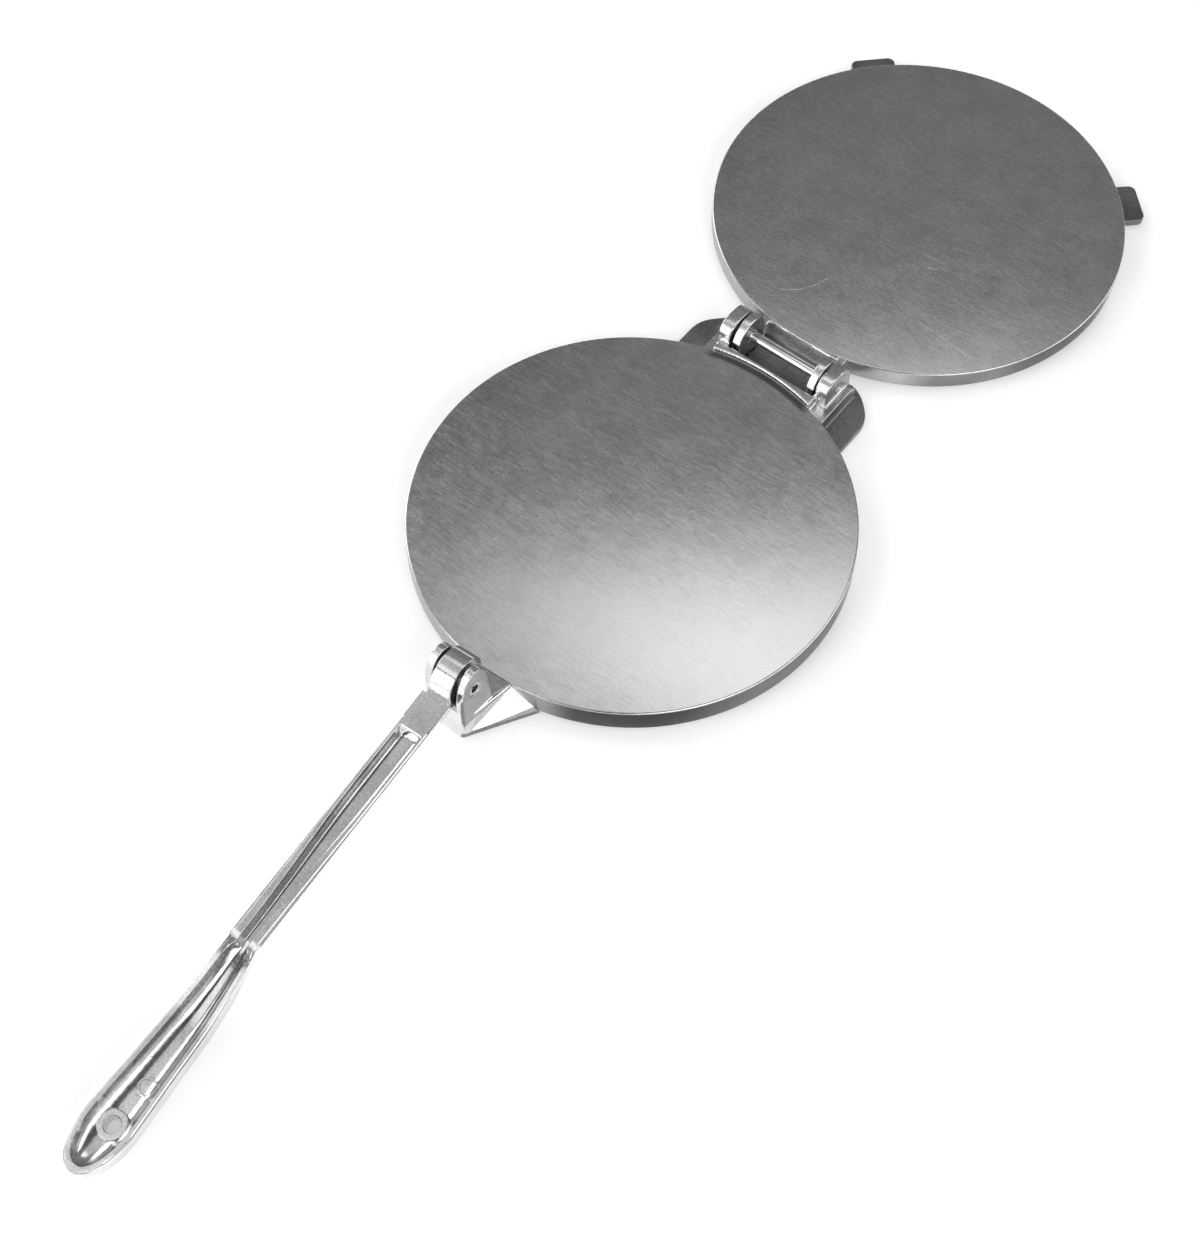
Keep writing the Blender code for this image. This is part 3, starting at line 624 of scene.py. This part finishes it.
def metal(name, dark, light, rough, bumps, streak=None, crease_shade=None, scratches=0.0, lip_strip=0.0, painted_rim_shade=None):
    """Aluminium or steel: two tones mixed by grain, roughness that varies with it, and a fine surface in relief."""
    material = bpy.data.materials.new(name)
    material.use_nodes = True
    tree = material.node_tree
    shader = tree.nodes["Principled BSDF"]
    n = Nodes(tree)
    shader.inputs["Metallic"].default_value = 1.0

    cloud = n.noise(n.coords(), 60.0, 5.0, 0.6)
    fine = n.noise(n.coords(), 1100.0, 2.0, 0.6)
    tone = n.math("ADD", n.math("MULTIPLY", cloud, 0.5), n.math("MULTIPLY", fine, 0.5))
    height = n.math("MULTIPLY", fine, bumps[0])
    height = n.math("ADD", height, n.math("MULTIPLY", n.noise(n.coords(), 300.0, 3.0, 0.55), bumps[1]))
    if streak:
        turn, strength = streak
        long = n.noise(n.coords((1500.0, 230.0, 230.0), turn), 1.0, 3.0, 0.6)
        wide = n.noise(n.coords((520.0, 90.0, 90.0), turn - 3), 1.0, 4.0, 0.6)
        lines = n.math("ADD", n.math("MULTIPLY", long, 0.65), n.math("MULTIPLY", wide, 0.35))
        tone = n.math("ADD", n.math("MULTIPLY", tone, 0.45), n.math("MULTIPLY", lines, 0.55))
        height = n.math("ADD", height, n.math("MULTIPLY", lines, strength))
    tone = n.ramp(tone, 0.36, 0.64)
    color = n.mix(tone, dark, light)
    if scratches:
        place = n.coords((70.0, 9.0, 9.0), 38.0)
        marks = n.noise(place, 1.6, 2.0, 0.4)
        thin = n.math("ABSOLUTE", n.math("SUBTRACT", marks, 0.5))
        line = n.ramp(thin, 0.0, 0.0035, 1.0, 0.0)
        where = n.ramp(n.noise(n.coords(), 14.0, 2.0), 0.60, 0.66)
        line = n.math("MAXIMUM", n.math("MULTIPLY", n.math("MULTIPLY", line, where), 0.6), placed_scratches(n))
        color = n.mix(n.math("MULTIPLY", line, scratches), color, (0.92, 0.92, 0.92))
        height = n.math("SUBTRACT", height, n.math("MULTIPLY", line, 0.4))
    if lip_strip:
        # A darker strip on the face beside the hinge lip.
        place = n.add("ShaderNodeSeparateXYZ")
        n.link(n.coords(), place.inputs["Vector"])
        ahead = n.math("MAXIMUM", n.math("SUBTRACT", place.outputs["X"], SHIFT_X * MM), 0.0)
        out = n.math("SQRT", n.math("ADD", n.math("POWER", ahead, 2.0), n.math("POWER", n.math("ABSOLUTE", place.outputs["Y"]), 2.0)))
        near = n.ramp(out, 0.0968, 0.0984)
        side = n.ramp(n.math("ABSOLUTE", place.outputs["Y"]), 0.024, 0.031, 1.0, 0.0)
        strip = n.math("MULTIPLY", n.math("MULTIPLY", near, side), lip_strip)
        color = n.mix(strip, color, (0.11, 0.11, 0.115))
    if painted_rim_shade:
        # Painted shade and reflection: the rim's colour goes from bright to dark round the plate, standing in for the
        # lit and shadowed floor it mirrors.
        centre, stops = painted_rim_shade
        place = n.add("ShaderNodeSeparateXYZ")
        n.link(n.coords(), place.inputs["Vector"])
        angle = n.math("ARCTAN2", place.outputs["Y"], n.math("SUBTRACT", place.outputs["X"], (SHIFT_X + centre) * MM))
        wander = n.math("MULTIPLY", n.math("SUBTRACT", n.noise(n.coords(), 25.0, 3.0), 0.5), 0.02)
        turn = n.math("FRACT", n.math("ADD", n.math("DIVIDE", angle, 2 * math.pi), wander))
        node = n.add("ShaderNodeValToRGB")
        node.color_ramp.interpolation = "EASE"
        elements = node.color_ramp.elements
        elements[0].position, elements[1].position = stops[0][0] / 360.0, stops[-1][0] / 360.0
        elements[0].color, elements[1].color = (*[stops[0][1]] * 3, 1), (*[stops[-1][1]] * 3, 1)
        for degrees, level in stops[1:-1]:
            elements.new(degrees / 360.0).color = (level, level, level, 1)
        n.link(turn, node.inputs["Fac"])
        skin_and_shade = n.add("ShaderNodeMix", data_type="RGBA", blend_type="MULTIPLY")
        skin_and_shade.inputs["Factor"].default_value = 1.0
        pair = [socket for socket in skin_and_shade.inputs if socket.type == "RGBA"]
        n.link(color, pair[0])
        n.link(node.outputs["Color"], pair[1])
        color = next(socket for socket in skin_and_shade.outputs if socket.type == "RGBA")
    roughness = n.ramp(tone, 0.0, 1.0, rough[0], rough[1], smooth=False)
    # Painted shade: creases and hollows (low pointiness) are darkened toward near-black, where shade gathers.
    if crease_shade:
        geometry = n.add("ShaderNodeNewGeometry")
        hollow = n.ramp(geometry.outputs["Pointiness"], 0.40, 0.49, 1.0, 0.0)
        color = n.mix(n.math("MULTIPLY", hollow, crease_shade), color, (0.10, 0.10, 0.105))
    bump = n.add("ShaderNodeBump")
    bump.inputs["Strength"].default_value = 1.0
    bump.inputs["Distance"].default_value = 0.0001
    n.link(height, bump.inputs["Height"])
    n.link(color, shader.inputs["Base Color"])
    n.link(roughness, shader.inputs["Roughness"])
    n.link(bump.outputs["Normal"], shader.inputs["Normal"])
    return material


def by_height(obj, test):
    """Another material on faces that pass the test."""
    for polygon in obj.data.polygons:
        polygon.material_index = int(test(polygon))


def painted_shade_faces(polygon):
    """Faces that get painted shade: the foot's low band and the flat along each ear's front corner take the dark metal,
    standing in for the shade near the floor and the shadowed floor they mirror, and the ears' sides take a darker copy
    of the bright metal.
    """
    x, y, z = polygon.center / MM
    nx, ny, nz = polygon.normal
    low = z < 4.3 and abs(ny) > 0.35
    corner = x < SHIFT_X - 127.6 and 6.0 < z < 35.0 and abs(y) > 9.0 and abs(nx) > 0.4 and abs(ny) > 0.4
    if low or corner:
        return 1
    return 2 if z > 14.0 and abs(ny) > 0.85 else 0


def build():
    machined = metal("machined_face", (0.50, 0.50, 0.505), (0.68, 0.68, 0.685), (0.20, 0.28), (0.10, 0.08), streak=(0.0, 0.22), lip_strip=0.85)
    machined_top = metal("machined_top_face", (0.46, 0.46, 0.48), (0.62, 0.62, 0.645), (0.22, 0.30), (0.10, 0.08), streak=(4.0, 0.30), scratches=0.5)
    # Both rims carry painted shade and reflection: a ramp round each plate darkens the sides that mirror the shadowed
    # floor.
    base_rim_painted_shade = metal(
        "cast_rim", (0.72, 0.72, 0.725), (1.0, 1.0, 1.0), (0.30, 0.42), (0.35, 0.5), crease_shade=0.3,
        painted_rim_shade=(0.0, ((0, 0.30), (140, 0.45), (165, 0.50), (193, 0.48), (205, 0.07), (224, 0.05), (250, 0.20), (278, 0.15), (298, 0.50), (360, 0.30))),
    )
    top_rim_painted_shade = metal(
        "cast_rim_light", (0.74, 0.74, 0.745), (1.0, 1.0, 1.0), (0.30, 0.42), (0.35, 0.5), crease_shade=0.3,
        painted_rim_shade=(TOP_X, ((0, 0.30), (140, 0.50), (208, 0.52), (220, 0.26), (232, 0.30), (250, 0.15), (262, 0.11), (272, 0.14), (281, 0.62), (300, 0.3), (360, 0.3))),
    )
    # Dark metal: the tabs' colour, and painted shade on the low bands and the ears' front corner flats.
    skin_and_shade = metal("dark_metal_and_painted_shade", (0.16, 0.16, 0.165), (0.27, 0.27, 0.275), (0.35, 0.5), (0.5, 0.8), crease_shade=0.4)
    bright = metal("cast_bright", (0.58, 0.58, 0.585), (0.78, 0.78, 0.785), (0.16, 0.24), (0.2, 0.35), crease_shade=0.6)
    # A darker copy of the bright metal: painted shade on faces turned to the sides.
    shaded_side = metal("cast_side_painted_shade", (0.26, 0.26, 0.265), (0.44, 0.44, 0.445), (0.30, 0.42), (0.35, 0.5), crease_shade=0.5)
    polished = metal("handle_bright", (0.62, 0.62, 0.625), (0.82, 0.82, 0.825), (0.14, 0.22), (0.2, 0.35), crease_shade=0.6)
    steel = metal("hinge_rod_steel", (0.60, 0.60, 0.61), (0.78, 0.78, 0.79), (0.12, 0.18), (0.08, 0.08), streak=(0.0, 0.08))
    spring = metal("spring_pin_steel", (0.45, 0.45, 0.46), (0.66, 0.66, 0.67), (0.18, 0.28), (0.15, 0.15))

    face = -TABLE * MM
    base = placed(base_disc(), "base", [base_rim_painted_shade, machined], angle=40, replaces=("base_plate",))
    by_height(base, lambda p: p.center.z > face - 0.0007)
    clevis = placed(front_clevis(), "base", [bright, skin_and_shade, shaded_side])
    by_height(clevis, painted_shade_faces)
    rear = placed(rear_hinge(), "base", [bright, skin_and_shade, shaded_side])
    # Painted shade: the lowest faces take the dark metal, darker towards the bottom, and faces turned to the sides take
    # the darker copy.
    by_height(rear, lambda p: 1 if p.center.z < (-TABLE - 11.2) * MM else 2 if abs(p.normal.y) > 0.85 else 0)
    top = placed(top_disc(), "top", [top_rim_painted_shade, machined_top], angle=40, replaces=("top_plate",))
    by_height(top, lambda p: p.center.z > face + (TOP_FACE - 0.7) * MM)
    placed(top_lugs(), "top", [bright])
    placed(top_tab(1), "top", [skin_and_shade])
    placed(top_tab(-1), "top", [skin_and_shade])
    placed(handle(), "lever", [polished], angle=38, replaces=("handle",), even=True)
    placed(hinge_pin(), "base", [steel], angle=30, replaces=("hinge_pin",))
    placed(handle_pin(), "base", [spring], angle=30, replaces=("handle_pin",))


# ---- stage ----

FLOOR_GLOW = 0.28
CARD = ((-800.0, 1500.0), (-130.0, 760.0), 1000.0)
# Level along the press, then against the distance along the card's diagonal, in metres.
CARD_RISE = (0.08, 0.37, 0.30, 1.0)
CARD_FOOT = (-0.60, -0.25, 0.42, 0.0)
CARD_FALL = (0.46, 1.0, 1.80, 0.23)
CARD_TAIL = (1.0, 1.85, 0.23, 0.27)
ROOM = 0.09
# Azimuth, elevation, inner and outer radius in degrees, strength.
LIGHTS = (
    (158.0, 22.0, 20.0, 25.0, 2.9),
    (248.0, 28.0, 20.0, 26.0, 3.1),
    (298.0, 14.0, 20.0, 26.0, 2.3),
    (86.0, 25.0, 16.0, 28.0, 2.8),
    (0.0, 38.0, 5.0, 50.0, 0.15),
)


def stage():
    """A white table, an overhead card, two soft boxes on the camera's side and a dim room behind the press."""
    floor = slab("floor", [(-6000, -6000), (6000, -6000), (6000, 6000), (-6000, 6000)], "xy", -10, -0.05)
    floor.data.transform(Matrix.Scale(MM, 4))
    material = bpy.data.materials.new("floor_white")
    material.use_nodes = True
    shader = material.node_tree.nodes["Principled BSDF"]
    shader.inputs["Base Color"].default_value = (0.94, 0.94, 0.94, 1)
    shader.inputs["Roughness"].default_value = 0.9
    shader.inputs["Emission Color"].default_value = (1, 1, 1, 1)
    shader.inputs["Emission Strength"].default_value = FLOOR_GLOW
    floor.data.materials.append(material)

    (x0, x1), (y0, y1), height = CARD
    card = slab("card", [(x0, y0), (x1, y0), (x1, y1), (x0, y1)], "xy", height, height + 5)
    card.data.transform(Matrix.Translation(Vector((SHIFT_X, 0, -TABLE)) * MM) @ Matrix.Scale(MM, 4))
    material = bpy.data.materials.new("card_light")
    material.use_nodes = True
    n = Nodes(material.node_tree)
    material.node_tree.nodes.remove(material.node_tree.nodes["Principled BSDF"])
    place = n.add("ShaderNodeSeparateXYZ")
    n.link(n.coords(), place.inputs["Vector"])
    along = n.math("SUBTRACT", place.outputs["X"], SHIFT_X * MM)
    across = n.math("ADD", along, place.outputs["Y"])
    glow = n.math("ADD", n.ramp(across, *CARD_FALL), n.ramp(across, *CARD_TAIL, smooth=False))
    rise = n.math("ADD", n.ramp(along, *CARD_RISE), n.ramp(along, *CARD_FOOT))
    glow = n.math("MULTIPLY", n.math("SUBTRACT", glow, CARD_TAIL[2]), rise)
    light = n.add("ShaderNodeEmission")
    n.link(glow, light.inputs["Strength"])
    n.link(light.outputs["Emission"], material.node_tree.nodes["Material Output"].inputs["Surface"])
    card.data.materials.append(material)
    # The card lights and is mirrored, but never hides the press in a view from above.
    card.visible_camera = False

    world = bpy.data.worlds.new("studio")
    bpy.context.scene.world = world
    world.use_nodes = True
    n = Nodes(world.node_tree)
    background = world.node_tree.nodes["Background"]
    where = n.add("ShaderNodeTexCoord")

    def lobe(azimuth, elevation, inner, outer, strength):
        a, e = math.radians(azimuth), math.radians(elevation)
        dot = n.add("ShaderNodeVectorMath", operation="DOT_PRODUCT")
        dot.inputs[1].default_value = (math.cos(e) * math.cos(a), math.cos(e) * math.sin(a), math.sin(e))
        n.link(where.outputs["Generated"], dot.inputs[0])
        return n.ramp(dot.outputs["Value"], math.cos(math.radians(outer)), math.cos(math.radians(inner)), 0.0, strength)

    total = ROOM
    for each in LIGHTS:
        total = n.math("ADD", total, lobe(*each)) if not isinstance(total, float) else n.math("ADD", lobe(*each), total)
    n.link(total, background.inputs["Strength"])
    background.inputs["Color"].default_value = (1, 1, 1, 1)

    scene = bpy.context.scene
    scene.view_settings.view_transform = "Standard"
    scene.view_settings.look = "None"


def camera():
    azimuth, elevation, distance = 3.80276130, 1.02524129, 904.1220
    target = Vector((-51.4006, -22.1748, 0.0))
    roll, focal = 0.00440326, 2082.6984
    back = Vector((math.cos(elevation) * math.cos(azimuth), math.cos(elevation) * math.sin(azimuth), math.sin(elevation)))
    place = target + back * distance
    right = (-back).cross(Vector((0, 0, 1))).normalized()
    up = right.cross(-back)
    c, s = math.cos(roll), math.sin(roll)
    right, up = right * c + up * s, up * c - right * s
    data = bpy.data.cameras.new("camera")
    data.sensor_fit = "HORIZONTAL"
    data.sensor_width = 36.0
    data.lens = focal * 36.0 / 1200.0
    data.clip_start, data.clip_end = 0.05, 30.0
    obj = bpy.data.objects.new("camera", data)
    bpy.context.scene.collection.objects.link(obj)
    world = (place + Vector((SHIFT_X, 0, -TABLE))) * MM
    obj.matrix_world = Matrix((
        (right.x, up.x, back.x, world.x),
        (right.y, up.y, back.y, world.y),
        (right.z, up.z, back.z, world.z),
        (0, 0, 0, 1),
    ))
    bpy.context.scene.camera = obj


build()
stage()
camera()
